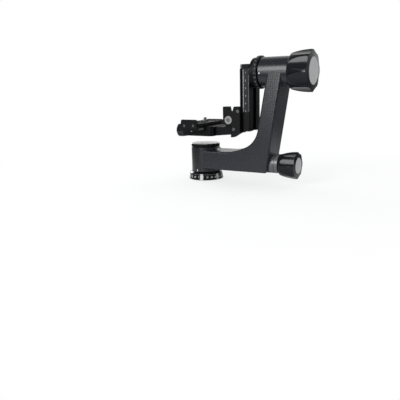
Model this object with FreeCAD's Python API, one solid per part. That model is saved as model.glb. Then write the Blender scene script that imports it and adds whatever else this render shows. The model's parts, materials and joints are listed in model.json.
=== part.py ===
import FreeCAD, Part
import math
import os
from FreeCAD import Vector

# Gimbal head for a tripod, in millimetres.
# Origin: centre of the contact face with the tripod, on the pan axis.  +Z is up, +X runs from the
# pan axis towards the upright of the arm, which is the direction of the tilt axis, and the lens
# looks along -Y.  The head is shown locked, with the platform level.

# ---------------------------------------------------------------- fits
run_fit = 0.05            # radial clearance of a turning shaft
seat_fit = 0.02           # radial clearance of a seated bearing, bush or insert
screw_fit = 0.1           # radial clearance round a screw
free_gap = 0.3            # gap between faces that slide or turn past each other
edge = 0.8                # broken edge of machined pieces

# ---------------------------------------------------------------- pan base
base_r = 30.0             # foot of the scale ring, on the tripod
ring_top_r = 27.4
ring_h = 13.4
ring_wall = 1.6           # skirt of the scale ring round the base flange
base_flange_h = 5.0
base_hub_r = 20.0
hub_drop = 0.8            # top of the base's hub below the top of the ring
thread_r = 4.7625         # 3/8 inch tripod thread
insert_drop = 0.6         # top of the thread insert below the hub
insert_r = 7.0
base_screw_r = 2.0
base_screw_head_r = 3.8
base_screw_pcr = 12.5     # radius of the circle of spindle screws
base_screw_count = 4

# ---------------------------------------------------------------- pan spindle and bearings
spindle_flange_r = 17.0
spindle_flange_h = 3.4
spindle_step_r = 13.8
spindle_step_h = 1.0
spindle_r = 12.0
spindle_neck_r = 9.0
spindle_thread_r = 8.0
pan_bearing_w = 8.0
pan_low_outer_r = 19.0
pan_high_outer_r = 16.0
race_wall = 2.4           # radial wall of every bearing ring
washer_h = 0.6
nut_h = 3.6
nut_r = 11.5

# ---------------------------------------------------------------- arm
tower_wall = 3.8
tower_liner_wall = 2.0
tower_gap = 0.4           # between the scale ring and the tower
tower_h = 42.8
beam_rise = 5.9           # underside of the beam above the foot of the tower
beam_h = 31.4
tilt_z = 179.0            # height of the tilt axis
housing_wall = 3.6
housing_len = 49.8
inner_inset = 16.6        # inner edge of the upright from the housing's end, at the tilt axis
inner_lean = 10.4         # degrees from vertical
outer_inset = 41.0        # outer edge of the upright, at the tilt axis
outer_lean = 9.3
bend_r = 37.8             # tight part of the inner sweep
sweep_r = 100.0           # flat part of the inner sweep
sweep_turn = 25.0         # degrees turned by the flat part
arm_edge = 2.8
arm_corner = 3.0          # lower corner under the upright
face_sink = 0.05          # the arm's front and back faces lie this far inside the housing's radius
tower_fillet = 4.6
tower_fillet_mid = 0.36   # middle of the fillet from its corner in radii, a little flatter than a circle
tower_fillet_rise = 0.32  # slope of the plane that runs the fillet out at the front

# ---------------------------------------------------------------- tower cap
cap_groove_h = 0.9
cap_groove_depth = 0.8
cap_disc_h = 5.1
cap_skirt_h = 3.6
cap_bore_r = 17.0

# ---------------------------------------------------------------- pan lock
lock_rise = 12.3          # lock axis above the underside of the beam
boss_r = 17.0             # boss on the upright, cut flat at the underside of the beam
boss_len = 14.2           # from the upright's outer face
boss_groove_out = 6.6     # groove round the boss, from its outer end
boss_groove_w = 1.0
boss_groove_depth = 0.8
boss_root = 8.0           # depth of the boss inside the upright
bush_flange_r = 11.0
bush_flange_h = 1.0
bush_r = 8.0
bush_len = 22.0
rod_r = 3.0
rod_bore_r = 3.4
shoe_r = 5.0
shoe_len = 7.7
shoe_inset = 1.0          # back of the shoe inside the tower's bore
lock_travel = 1.0         # the shoe, rod and knob back off by this much
shoe_room = 4.0           # bore left behind the backed-off shoe

# ---------------------------------------------------------------- lobed knobs
lobe_count = 8
knob_lip = 0.8
knob_face_drop = 1.8      # rim of a large knob behind its face
knob_gap = 0.4
cap_proud = 0.4

pan_knob_narrow_r = 17.6
pan_knob_waist_r = 20.2
pan_knob_waist_h = 11.0
pan_knob_wide_r = 22.0
pan_knob_len = 29.0
pan_knob_cap_r = 12.8
pan_knob_groove_in = 18.3
pan_knob_groove_out = 19.7
pan_knob_groove_r = 26.0

tilt_knob_narrow_r = 28.2
tilt_knob_waist_r = 30.5
tilt_knob_waist_h = 12.0
tilt_knob_wide_r = 31.9
tilt_knob_len = 33.0
tilt_knob_cap_r = 20.7
tilt_knob_groove_in = 28.2
tilt_knob_groove_out = 28.9
tilt_knob_groove_r = 40.0

small_lobe_count = 6
small_knob_narrow_r = 9.6
small_knob_waist_r = 11.2
small_knob_waist_h = 6.5
small_knob_wide_r = 11.8
small_face_drop = 1.4
small_knob_len = 18.2
qr_knob_len = 20.8
small_knob_cap_r = 6.8
small_knob_groove_in = 9.8
small_knob_groove_out = 10.7
small_knob_groove_r = 12.0
small_knob_gap = 1.2      # room for the washer face between a small knob and its jaw

# ---------------------------------------------------------------- tilt shaft, bearings, scale ring
rail_x = 83.0             # face of the rail's slab towards the pan axis
rail_thick = 12.0
hub_r = 23.0
hub_h = 7.6
tilt_ring_r = 26.0
tilt_ring_w = 6.2
tilt_ring_gap = 0.4       # between hub and scale ring
tilt_ring_seat_r = 14.0
housing_gap = 1.0         # between the scale ring and the housing
tilt_step_r = 11.6
tilt_shaft_r = 10.0
tilt_bearing_r = 17.5
tilt_bearing_w = 8.0
tilt_bearing_inset = 1.6  # bearings from the ends of the liner
tilt_liner_wall = 2.5
tilt_liner_mid_r = 14.6
tilt_thread_r = 8.0
tilt_thread_len = 27.0
end_ring_w = 1.8
brake_rim = 1.9           # radius of the brake disc beyond the bearing
brake_room = 0.4          # radial clearance between brake disc and end ring

# ---------------------------------------------------------------- rail
rail_half = 20.3
rail_drop = 92.8          # lower end below the tilt axis
rail_rise = 6.4           # upper end above it
tongue_depth = 6.0
tongue_tip_half = 18.0
tongue_land = 1.2
tongue_root_half = 13.2
rail_slot_half = 6.0
rail_slot_depth = 3.0
top_stop_h = 7.0
stop_head_r = 3.6
stop_head_h = 2.4
stop_y = 10.6
stop_overhang = 0.7       # how far the lower stop heads stand out of the tongue
stop_shank_r = 1.5
stop_shank_len = 9.0
rail_screw_r = 2.5
rail_screw_head_r = 4.2
rail_screw_head_h = 5.0
rail_screw_y = 11.0
rail_screw_up = 1.4
rail_screw_down = 13.0
rail_screw_grip = 6.0     # rail thickness left under the heads
rail_screw_reach = 5.0    # thread length in the hub

# ---------------------------------------------------------------- carriage and height clamp
platform_drop = 101.8     # underside of the platform below the tilt axis
neck_rise = 3.2           # underside of the neck above the platform's, at the column
core_foot = 7.0           # underside of the core above the platform's, beside the rail
core_top = 34.4           # top of the core above the platform's underside
core_len = 25.6
neck_top = 15.2
neck_curve = 5.0
height_travel_down = 4.0
jaw_thick = 10.7
jaw_top = 49.1            # above the platform's underside
jaw_foot = 0.3            # below it
rear_jaw_top = 42.0
rear_jaw_foot = 8.0        # the rear jaw ends this far above the platform's underside
jaw_ear_z = 20.5          # underside of the ear
column_len = 12.1         # column below the ear, back from the rail's side of the core
notch_in = 10.7           # notch in the top edge, from the rail's side of the core
notch_depth = 7.0
notch_half = 5.3
notch_floor = 3.3
jaw_corner = 5.0
jaw_foot_len = 12.6       # cut corner of the jaw's foot, along the jaw
jaw_foot_rise = 7.6
clamp_bolt_in = 15.4      # from the rail's side of the core
clamp_bolt_z = 27.6       # above the platform's underside
clamp_bolt_r = 3.0
clamp_bolt_head_r = 6.6
clamp_bolt_head_h = 2.2
clamp_bolt_proud = 0.6
jaw_screw_out = 2.0       # towards the rail from the core
jaw_screw_z = 42.0
jaw_screw_low_z = 12.8
jaw_screw_r = 1.5
jaw_screw_head_r = 2.6
jaw_screw_head_h = 2.0
jaw_screw_len = 13.0
stop_relief = 0.6

# ---------------------------------------------------------------- quick release clamp
base_half_y = 30.0
fixed_jaw_w = 14.6        # from the plate's neck to the outer face
base_step = 7.0           # base reaches this far past the dovetail, towards the moving jaw
base_floor = 10.4         # floor of the clamp above the platform's underside
base_corner = 4.6
lip_top = 16.4            # top of both jaws above the platform's underside
moving_jaw_w = 15.1       # from the plate's neck to the outer face
qr_axis_z = 6.4           # knob axis above the platform's underside
qr_stud_r = 3.0
qr_stud_in = 6.0          # inner end of the stud from the pan axis
qr_pin_r = 2.0
qr_pin_y = 20.0
qr_pin_in = 12.0
stop_pin_x = -9.6
stop_pin_r = 1.9
stop_pin_len = 6.0
stop_pin_proud = 0.5
stop_pin_drop = 2.1       # below the clamp's floor

# ---------------------------------------------------------------- lens plate
dove_half = 19.0
dove_edge = 1.3
dove_neck_half = 16.0
plate_top_half = 17.4
plate_h = 12.2
plate_front = 50.0
plate_rear = 40.0
flange_half = 15.7
flange_thick = 3.0
flange_foot = 3.3         # underside of the flange above the plate's underside
flange_h = 15.0
flange_screw_x = 8.8
flange_screw_z = 8.4
flange_screw_r = 1.3
flange_screw_head_r = 2.2
flange_screw_head_h = 1.1
flange_screw_len = 8.0
pad_half = 13.5
pad_len = 26.0
pad_h = 1.4
pad_sink = 0.7
pad_y = 24.0
slot_r = 3.6
slot_half_len = 14.0
slot_pocket_r = 7.4
slot_pocket_h = 4.9
camera_screw_r = 3.175
camera_neck_r = 2.9
thread_start = 0.2        # thread begins this far above the pads
camera_screw_proud = 5.6
camera_head_r = 6.8
camera_head_h = 2.6
washer_r = 6.6
washer_t = 1.0

# ---------------------------------------------------------------- derived heights and stations
base_hub_h = ring_h - hub_drop
thread_len = base_hub_h - insert_drop
tower_z = ring_h + tower_gap
tower_top = tower_z + tower_h
tower_bore_r = pan_low_outer_r + tower_liner_wall
tower_r = tower_bore_r + tower_wall
beam_z = tower_z + beam_rise
beam_top = beam_z + beam_h
lock_z = beam_z + lock_rise
spindle_z = base_hub_h
step_z = spindle_z + spindle_flange_h + spindle_step_h
pan_low_top = step_z + pan_bearing_w
washer_z = tower_top - cap_skirt_h - 2.0
pan_high_z = washer_z - pan_bearing_w
liner_top = tower_top - cap_skirt_h - 0.2
cap_top = tower_top + cap_groove_h + cap_disc_h

rail_far_x = rail_x + rail_thick
tongue_x = rail_x - tongue_depth
hub_x = rail_far_x
ring_x = hub_x + hub_h + tilt_ring_gap
housing_x = ring_x + tilt_ring_w + housing_gap
housing_far_x = housing_x + housing_len
housing_bore_r = tilt_bearing_r + tilt_liner_wall
housing_r = housing_bore_r + housing_wall
arm_half = housing_r - face_sink
brake_r = tilt_bearing_r + brake_rim
end_ring_bore_r = brake_r + brake_room
end_ring_x = housing_far_x - end_ring_w
left_bearing_x = housing_x + tilt_bearing_inset
right_bearing_x = end_ring_x - tilt_bearing_inset - tilt_bearing_w
tilt_knob_x = housing_far_x + knob_gap
lean_drop = (tilt_z - lock_z) * math.tan(math.radians(outer_lean))
boss_reach = housing_x + outer_inset - lean_drop + boss_len
pan_knob_x = boss_reach + bush_flange_h + knob_gap
shoe_back = tower_bore_r - shoe_inset

rail_z = tilt_z - rail_drop
rail_top = tilt_z + rail_rise
platform_z = tilt_z - platform_drop
floor_z = platform_z + base_floor
plate_z = floor_z + free_gap
plate_top = plate_z + plate_h
lip_z = platform_z + lip_top
core_half = tongue_tip_half + free_gap
core_x = tongue_x - free_gap
core_front_x = core_x - core_len
column_x = core_x - column_len
notch_x = core_x - notch_in
clamp_bolt_x = core_x - clamp_bolt_in
jaw_screw_x = core_x + jaw_screw_out
jaw_out = core_half + jaw_thick
jaw_far_x = rail_x - free_gap - 0.1
flank_gap = free_gap * math.sqrt(2)
dove_floor_half = dove_half + flank_gap
dove_lip_half = dove_neck_half + flank_gap
base_out = dove_lip_half + fixed_jaw_w
base_in = dove_floor_half + base_step
qr_jaw_out = dove_lip_half + moving_jaw_w
clamp_z = platform_z + clamp_bolt_z
qr_z = platform_z + qr_axis_z

X = Vector(1, 0, 0)
Y = Vector(0, 1, 0)
Z = Vector(0, 0, 1)
TILT_AXIS = Vector(0, 0, tilt_z)
LOCK_AXIS = Vector(0, 0, lock_z)
QR_AXIS = Vector(0, 0, qr_z)


# ---------------------------------------------------------------- helpers
def face_of(start, runs, place):
    """Closed flat face.  A run is an end point, or a (middle, end) pair for an arc."""
    edges = []
    here = start
    for run in list(runs) + [start]:
        arc = isinstance(run[0], tuple)
        end = run[1] if arc else run
        if arc:
            edges.append(Part.Arc(place(*here), place(*run[0]), place(*end)).toShape())
        elif math.dist(here, end) > 1e-6:
            edges.append(Part.makeLine(place(*here), place(*end)))
        here = end
    return Part.Face(Part.Wire(edges))


def side_plate(start, runs, y_low, y_high):
    """Outline of (x, z) points, extruded along Y."""
    face = face_of(start, runs, lambda x, z: Vector(x, y_low, z))
    return face.extrude(Vector(0, y_high - y_low, 0))


def plan_plate(start, runs, z_low, z_high):
    """Outline of (x, y) points, extruded along Z."""
    face = face_of(start, runs, lambda x, y: Vector(x, y, z_low))
    return face.extrude(Vector(0, 0, z_high - z_low))


def turned(start, runs, centre, axis, radial):
    """Outline of (radius, height) points, turned round an axis."""
    face = face_of(start, runs, lambda r, h: centre + radial * r + axis * h)
    return face.revolve(centre, axis, 360)


def rod(radius, low, high, centre, axis):
    return Part.makeCylinder(radius, high - low, centre + axis * low, axis)


def tube(outer, inner, low, high, centre, axis):
    return rod(outer, low, high, centre, axis).cut(rod(inner, low, high, centre, axis))


def block(x_low, x_high, y_low, y_high, z_low, z_high):
    return Part.makeBox(x_high - x_low, y_high - y_low, z_high - z_low, Vector(x_low, y_low, z_low))


def mirror_y(shape):
    return shape.mirror(Vector(0, 0, 0), Y)


def save(shape, node):
    shape.exportStep("parts/" + node + ".step")


def save_group(solids, node):
    save(Part.makeCompound(solids), node)


def bearing_rings(outer_r, inner_r, low, high, centre, axis):
    """Outer ring with its shields, and inner ring, of a sealed ball bearing."""
    split = outer_r - race_wall
    lip_w = 0.8
    inner_top = inner_r + race_wall
    outer = turned((outer_r, low + edge / 2), [(outer_r, high - edge / 2), (outer_r - edge / 2, high),
                   (inner_top + run_fit * 4, high), (inner_top + run_fit * 4, high - lip_w),
                   (split, high - lip_w), (split, low + lip_w), (inner_top + run_fit * 4, low + lip_w),
                   (inner_top + run_fit * 4, low), (outer_r - edge / 2, low)], centre, axis, side_of(axis))
    inner = tube(inner_top, inner_r, low, high, centre, axis)
    return outer, inner


def side_of(axis):
    return X if abs(axis.z) > 0.5 else Z


def lobed_knob(centre, axis, bore, **size):
    """Barrel-shaped knob with a low conical face, and grooves that deepen towards the rim."""
    radial = Z
    cross = axis.cross(radial)
    wide_r = size["wide_r"]
    length = size["length"]
    rim_h = length - size["face_drop"]
    cap_seat = size["cap_r"] + seat_fit
    round_in = knob_lip * 1.3
    body = turned((bore, 0), [
        (size["narrow_r"] - knob_lip, 0),
        (size["narrow_r"], knob_lip),
        ((size["waist_r"], size["waist_h"]), (wide_r, rim_h)),
        ((wide_r - round_in * 0.3, rim_h + knob_lip * 0.7), (wide_r - round_in, rim_h + knob_lip)),
        (cap_seat + knob_lip / 2, length),
        (cap_seat, length),
        (cap_seat, length - size["cap_depth"]),
        (bore, length - size["cap_depth"])], centre, axis, radial)
    tilt = math.atan2(size["groove_out"] - size["groove_in"], rim_h)
    for lobe in range(size["lobes"]):
        angle = 2 * math.pi * (lobe + 0.5) / size["lobes"]
        outward = radial * math.sin(angle) + cross * math.cos(angle)
        along = axis * math.cos(tilt) + outward * math.sin(tilt)
        foot = centre + outward * (size["groove_in"] + size["groove_r"] / math.cos(tilt))
        body = body.cut(Part.makeCylinder(size["groove_r"], 2 * length, foot - along * length * 0.5, along))
    return body


def knob_cap(centre, axis, radius, low, high):
    """Inlaid disc of a knob, with a broken edge."""
    outline = [(radius, low), (radius, high - edge / 2), (radius - edge / 2, high), (0, high)]
    return turned((0, low), outline, centre, axis, side_of(axis))


def screw(head_r, head_h, shank_r, shank_len, centre, inward, socket_r, socket_h):
    """Socket screw: centre is under the head, inward points along the shank."""
    head = turned((0, -head_h), [(head_r - 0.3, -head_h), (head_r, 0.3 - head_h), (head_r, 0), (0, 0)],
                  centre, inward, side_of(inward))
    shank = rod(shank_r, 0, shank_len, centre, inward)
    return head.fuse(shank).cut(rod(socket_r, -head_h, socket_h - head_h, centre, inward))


# ---------------------------------------------------------------- pan base
def make_pan_base():
    flange_r = base_r - ring_wall
    base = turned((insert_r, 0), [(flange_r - edge, 0), (flange_r, edge), (flange_r, base_flange_h),
                  (base_hub_r, base_flange_h), (base_hub_r, base_hub_h), (insert_r, base_hub_h)],
                  Vector(), Z, X)
    for hole in screw_circle():
        base = base.cut(rod(base_screw_r + screw_fit, 0, base_hub_h, hole, Z))
        base = base.cut(rod(base_screw_head_r + screw_fit, 0, base_screw_head_r, hole, Z))
    save(base, "pan_base")


def screw_circle():
    holes = []
    for step in range(base_screw_count):
        angle = 2 * math.pi * (step + 0.5) / base_screw_count
        holes.append(Vector(base_screw_pcr * math.cos(angle), base_screw_pcr * math.sin(angle), 0))
    return holes


def make_pan_scale_ring():
    skirt_in = base_r - ring_wall + seat_fit
    shoulder_r = base_r - (base_r - ring_top_r) * 0.6
    ring = turned((skirt_in, edge / 2), [
        (base_r - edge / 2, edge / 2), (base_r, edge), (shoulder_r, ring_h - 2.5),
        (ring_top_r - edge, ring_h - edge / 2), (ring_top_r - edge * 1.5, ring_h),
        (base_hub_r + seat_fit, ring_h), (base_hub_r + seat_fit, base_flange_h), (skirt_in, base_flange_h)],
        Vector(), Z, X)
    save(ring, "pan_scale_ring")


def make_thread_insert():
    save(tube(insert_r - seat_fit, thread_r, 0, thread_len, Vector(), Z), "thread_insert")


def make_spindle():
    top = washer_z + washer_h + nut_h + 1.0
    spindle = turned((0, spindle_z), [(spindle_flange_r, spindle_z),
                     (spindle_flange_r, spindle_z + spindle_flange_h),
                     (spindle_step_r, spindle_z + spindle_flange_h), (spindle_step_r, step_z),
                     (spindle_r, step_z), (spindle_r, pan_high_z), (spindle_neck_r, pan_high_z),
                     (spindle_neck_r, washer_z), (spindle_thread_r, washer_z),
                     (spindle_thread_r, top - edge), (spindle_thread_r - edge, top), (0, top)],
                     Vector(), Z, X)
    for hole in screw_circle():
        spindle = spindle.cut(rod(base_screw_r + screw_fit, spindle_z, step_z, hole, Z))
    save(spindle, "spindle")


def make_base_screws():
    head_h = base_screw_head_r - base_screw_r
    length = spindle_z + spindle_flange_h - base_screw_head_r - 0.4
    screws = []
    for hole in screw_circle():
        screws.append(screw(base_screw_head_r, head_h, base_screw_r, length,
                            hole + Z * base_screw_head_r, Z, base_screw_r * 0.7, head_h * 0.6))
    save_group(screws, "base_screws")


def make_pan_bearings():
    outer, inner = bearing_rings(pan_low_outer_r - seat_fit, spindle_r + seat_fit, step_z, pan_low_top,
                                 Vector(), Z)
    save(outer, "pan_lower_outer_ring")
    save(inner, "pan_lower_inner_ring")
    outer, inner = bearing_rings(pan_high_outer_r - seat_fit, spindle_neck_r + seat_fit,
                                 pan_high_z, washer_z, Vector(), Z)
    save(outer, "pan_upper_outer_ring")
    save(inner, "pan_upper_inner_ring")


def make_spindle_nut():
    washer = tube(nut_r, spindle_thread_r + seat_fit, washer_z, washer_z + washer_h, Vector(), Z)
    save(washer, "spindle_washer")
    low = washer_z + washer_h
    nut = tube(nut_r, spindle_thread_r + seat_fit, low, low + nut_h, Vector(), Z)
    for quarter in range(4):
        notch = block(nut_r - 1.8, nut_r + 1, -1.5, 1.5, low, low + nut_h)
        notch.rotate(Vector(), Z, 90 * quarter + 45)
        nut = nut.cut(notch)
    save(nut, "spindle_nut")


# ---------------------------------------------------------------- arm
def inner_edge_x(z):
    return housing_x + inner_inset - (tilt_z - z) * math.tan(math.radians(inner_lean))


def outer_edge_x(z):
    return housing_x + outer_inset - (tilt_z - z) * math.tan(math.radians(outer_lean))


def arm_side_outline():
    """Start and runs of the beam and upright, seen along Y, with the inner sweep as two arcs."""
    first = math.radians(sweep_turn)
    last = math.radians(90 - inner_lean)
    half = (first + last) / 2
    z_flat = beam_top + sweep_r * (1 - math.cos(first))
    z_bend = z_flat + bend_r * (math.cos(first) - math.cos(last))
    x_bend = inner_edge_x(z_bend)
    x_flat = x_bend - bend_r * (math.sin(last) - math.sin(first))
    x_start = x_flat - sweep_r * math.sin(first)
    bend_mid = (x_flat + bend_r * (math.sin(half) - math.sin(first)),
                z_flat + bend_r * (math.cos(first) - math.cos(half)))
    flat_mid = (x_start + sweep_r * math.sin(first / 2), beam_top + sweep_r * (1 - math.cos(first / 2)))
    start = (0.0, beam_z)
    runs = [(outer_edge_x(beam_z), beam_z),
            (outer_edge_x(tilt_z), tilt_z),
            (inner_edge_x(tilt_z), tilt_z),
            (x_bend, z_bend),
            (bend_mid, (x_flat, z_flat)),
            (flat_mid, (x_start, beam_top)),
            (0.0, beam_top)]
    return start, runs


def tower_fillet_ring():
    """Concave fillet between tower and beam, run out where the tower meets the front and back faces."""
    radius = min(tower_fillet, tower_top - beam_top - edge)
    bend = radius * tower_fillet_mid
    ring = turned((tower_r - 1, beam_top - 1),
                  [(tower_r + radius, beam_top - 1), (tower_r + radius, beam_top),
                   ((tower_r + bend, beam_top + bend), (tower_r, beam_top + radius)),
                   (tower_r - 1, beam_top + radius)], Vector(), Z, X)
    far = tower_r + radius
    wedge = side_plate((0.0, beam_top - 1), [(far, beam_top - 1), (far, beam_top + tower_fillet_rise * far),
                       (0.0, beam_top)], -arm_half, arm_half)
    return ring.common(wedge)


def make_arm():
    start, runs = arm_side_outline()
    side = side_plate(start, runs, -2 * housing_r, 2 * housing_r)
    corner = [item for item in side.Edges if at_height(item, beam_z) and item.Vertexes[0].X > boss_r
              and abs(item.Vertexes[0].Y + item.Vertexes[-1].Y) < 1e-6]
    side = side.makeFillet(arm_corner, corner)
    limb = side.common(block(-1, housing_far_x, -arm_half, arm_half, beam_z - 1, tilt_z))
    limb = limb.makeFillet(arm_edge, long_edges(limb))
    tower = turned((0, tower_z), [(tower_r - edge, tower_z), (tower_r, tower_z + edge),
                   (tower_r, tower_top - edge / 2), (tower_r - edge / 2, tower_top), (0, tower_top)],
                   Vector(), Z, X)
    housing = turned((0, housing_x), [(housing_r - edge, housing_x), (housing_r, housing_x + edge),
                     (housing_r, end_ring_x), (0, end_ring_x)], TILT_AXIS, X, Z)
    boss_low = boss_reach - boss_len - boss_root
    groove_x = boss_reach - boss_groove_out
    boss = rod(boss_r, boss_low, boss_reach, LOCK_AXIS, X)
    boss = boss.cut(tube(boss_r + 1, boss_r - boss_groove_depth, groove_x, groove_x + boss_groove_w,
                         LOCK_AXIS, X))
    boss = boss.common(block(boss_low, boss_reach, -boss_r, boss_r, beam_z, beam_top))
    body = limb.fuse([tower, housing, boss, tower_fillet_ring()])
    body = body.cut(rod(tower_bore_r, tower_z, tower_top, Vector(), Z))
    body = body.cut(rod(housing_bore_r, housing_x, end_ring_x, TILT_AXIS, X))
    body = body.cut(rod(shoe_r + free_gap / 2, 0, shoe_back + lock_travel + shoe_room, LOCK_AXIS, X))
    body = body.cut(rod(rod_bore_r, 0, boss_reach, LOCK_AXIS, X))
    body = body.cut(rod(bush_r, boss_reach - bush_len, boss_reach, LOCK_AXIS, X))
    save(body.removeSplitter(), "arm")


def long_edges(limb):
    """Edges along the front and back outlines of the beam and upright."""
    chosen = []
    for item in limb.Edges:
        ends = [vertex.Point for vertex in item.Vertexes]
        same_side = all(abs(point.y) > arm_half * 0.9 for point in ends) and ends[0].y * ends[-1].y > 0
        middle = item.valueAt((item.FirstParameter + item.LastParameter) / 2)
        at_top = min(ends[0].z, ends[-1].z) > tilt_z - housing_r * 0.3
        at_tower = abs(middle.x) < 1e-6
        if same_side and not at_top and not at_tower:
            chosen.append(item)
    return chosen


def make_tower_liner():
    inner_mid = spindle_r + race_wall
    liner = turned((pan_low_outer_r, tower_z), [
        (tower_bore_r - seat_fit, tower_z), (tower_bore_r - seat_fit, liner_top),
        (pan_high_outer_r, liner_top), (pan_high_outer_r, pan_high_z),
        (inner_mid, pan_high_z), (inner_mid, pan_low_top), (pan_low_outer_r, pan_low_top)], Vector(), Z, X)
    save(liner.cut(rod(shoe_r + free_gap / 2, 0, tower_bore_r, LOCK_AXIS, X)), "tower_liner")


def make_tower_cap():
    neck_r = tower_r - cap_groove_depth
    neck_top_z = tower_top + cap_groove_h
    skirt_r = tower_bore_r - seat_fit
    cap = turned((0, cap_top - 2.6), [
        (cap_bore_r, cap_top - 2.6), (cap_bore_r, tower_top - cap_skirt_h),
        (skirt_r, tower_top - cap_skirt_h), (skirt_r, tower_top), (neck_r, tower_top), (neck_r, neck_top_z),
        (tower_r, neck_top_z), (tower_r, cap_top - edge / 2), (tower_r - edge / 2, cap_top), (0, cap_top)],
        Vector(), Z, X)
    save(cap, "tower_cap")


# ---------------------------------------------------------------- pan lock
def make_lock_bush():
    bush = turned((rod_r + run_fit, boss_reach - bush_len), [
        (bush_r - seat_fit, boss_reach - bush_len), (bush_r - seat_fit, boss_reach),
        (bush_flange_r, boss_reach), (bush_flange_r, boss_reach + bush_flange_h - edge / 2),
        (bush_flange_r - edge / 2, boss_reach + bush_flange_h),
        (rod_r + run_fit, boss_reach + bush_flange_h)], LOCK_AXIS, X, Z)
    save(bush, "lock_bush")


def make_pan_brake_shoe():
    shoe = rod(shoe_r, shoe_back - shoe_len - 2, shoe_back, LOCK_AXIS, X)
    save(shoe.cut(rod(spindle_r + free_gap, 0, tower_top, Vector(), Z)), "pan_brake_shoe")


def make_pan_knob():
    centre = LOCK_AXIS + X * pan_knob_x
    cap_depth = 3.0
    rod_end = pan_knob_len - cap_depth
    knob = lobed_knob(centre, X, bush_r, narrow_r=pan_knob_narrow_r, waist_r=pan_knob_waist_r,
                      waist_h=pan_knob_waist_h, wide_r=pan_knob_wide_r, face_drop=knob_face_drop,
                      length=pan_knob_len, cap_r=pan_knob_cap_r, cap_depth=cap_depth, lobes=lobe_count,
                      groove_in=pan_knob_groove_in, groove_out=pan_knob_groove_out,
                      groove_r=pan_knob_groove_r)
    save(knob, "pan_knob")
    save(knob_cap(centre, X, pan_knob_cap_r, rod_end, pan_knob_len + cap_proud), "pan_knob_cap")
    lock_rod = rod(rod_r, shoe_back + free_gap, pan_knob_x, LOCK_AXIS, X)
    lock_rod = lock_rod.fuse(rod(bush_r - seat_fit, 0, rod_end, centre, X))
    save(lock_rod, "pan_lock_rod")


# ---------------------------------------------------------------- tilt axis
def make_tilt_liner():
    far_left = left_bearing_x + tilt_bearing_w
    liner = turned((tilt_bearing_r, housing_x + edge), [
        (housing_bore_r - seat_fit, housing_x + edge), (housing_bore_r - seat_fit, end_ring_x),
        (tilt_bearing_r, end_ring_x), (tilt_bearing_r, right_bearing_x),
        (tilt_liner_mid_r, right_bearing_x), (tilt_liner_mid_r, far_left), (tilt_bearing_r, far_left)],
        TILT_AXIS, X, Z)
    save(liner, "tilt_liner")


def make_tilt_bearings():
    for name, low in (("left", left_bearing_x), ("right", right_bearing_x)):
        outer, inner = bearing_rings(tilt_bearing_r - seat_fit, tilt_shaft_r + seat_fit, low,
                                     low + tilt_bearing_w, TILT_AXIS, X)
        save(outer, "tilt_" + name + "_outer_ring")
        save(inner, "tilt_" + name + "_inner_ring")


def make_housing_end_ring():
    ring = turned((end_ring_bore_r, end_ring_x), [
        (housing_r, end_ring_x), (housing_r, housing_far_x - edge / 2),
        (housing_r - edge / 2, housing_far_x),
        (end_ring_bore_r, housing_far_x)], TILT_AXIS, X, Z)
    save(ring, "housing_end_ring")


def make_tilt_shaft():
    thread_x = right_bearing_x + tilt_bearing_w
    far = tilt_knob_x + tilt_thread_len
    ring_far = ring_x + tilt_ring_w
    shaft = turned((0, hub_x), [
        (hub_r - edge, hub_x), (hub_r, hub_x + edge), (hub_r, hub_x + hub_h - edge),
        (hub_r - edge, hub_x + hub_h), (tilt_ring_seat_r, hub_x + hub_h), (tilt_ring_seat_r, ring_far),
        (tilt_step_r, ring_far), (tilt_step_r, left_bearing_x), (tilt_shaft_r, left_bearing_x),
        (tilt_shaft_r, thread_x), (tilt_thread_r, thread_x), (tilt_thread_r, far - edge),
        (tilt_thread_r - edge, far), (0, far)], TILT_AXIS, X, Z)
    for place in rail_screw_places():
        shaft = shaft.cut(rod(rail_screw_r + screw_fit, hub_x, hub_x + rail_screw_reach + edge, place, X))
    save(shaft, "tilt_shaft")


def rail_screw_places():
    places = []
    for y in (-rail_screw_y, rail_screw_y):
        for z in (tilt_z + rail_screw_up, tilt_z - rail_screw_down):
            places.append(Vector(0, y, z))
    return places


def make_tilt_scale_ring():
    far = ring_x + tilt_ring_w
    ring = turned((tilt_ring_seat_r + seat_fit, ring_x), [
        (tilt_ring_r - edge, ring_x), (tilt_ring_r, ring_x + edge), (tilt_ring_r, far - edge),
        (tilt_ring_r - edge, far), (tilt_ring_seat_r + seat_fit, far)], TILT_AXIS, X, Z)
    save(ring, "tilt_scale_ring")


def make_tilt_knob():
    centre = TILT_AXIS + X * tilt_knob_x
    cap_depth = 3.4
    bush_out = tilt_thread_r + 4.0
    cap_seat = tilt_knob_len - cap_depth
    knob = lobed_knob(centre, X, bush_out, narrow_r=tilt_knob_narrow_r, waist_r=tilt_knob_waist_r,
                      waist_h=tilt_knob_waist_h, wide_r=tilt_knob_wide_r, face_drop=knob_face_drop,
                      length=tilt_knob_len, cap_r=tilt_knob_cap_r, cap_depth=cap_depth, lobes=lobe_count,
                      groove_in=tilt_knob_groove_in, groove_out=tilt_knob_groove_out,
                      groove_r=tilt_knob_groove_r)
    save(knob, "tilt_knob")
    save(knob_cap(centre, X, tilt_knob_cap_r, cap_seat, tilt_knob_len + cap_proud), "tilt_knob_cap")
    bush = tube(bush_out - seat_fit, tilt_thread_r + run_fit, 0, cap_seat, centre, X)
    save(bush, "tilt_knob_bush")
    disc = tube(brake_r, tilt_thread_r + run_fit, end_ring_x + free_gap, tilt_knob_x - free_gap,
                TILT_AXIS, X)
    save(disc, "tilt_brake_disc")


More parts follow.
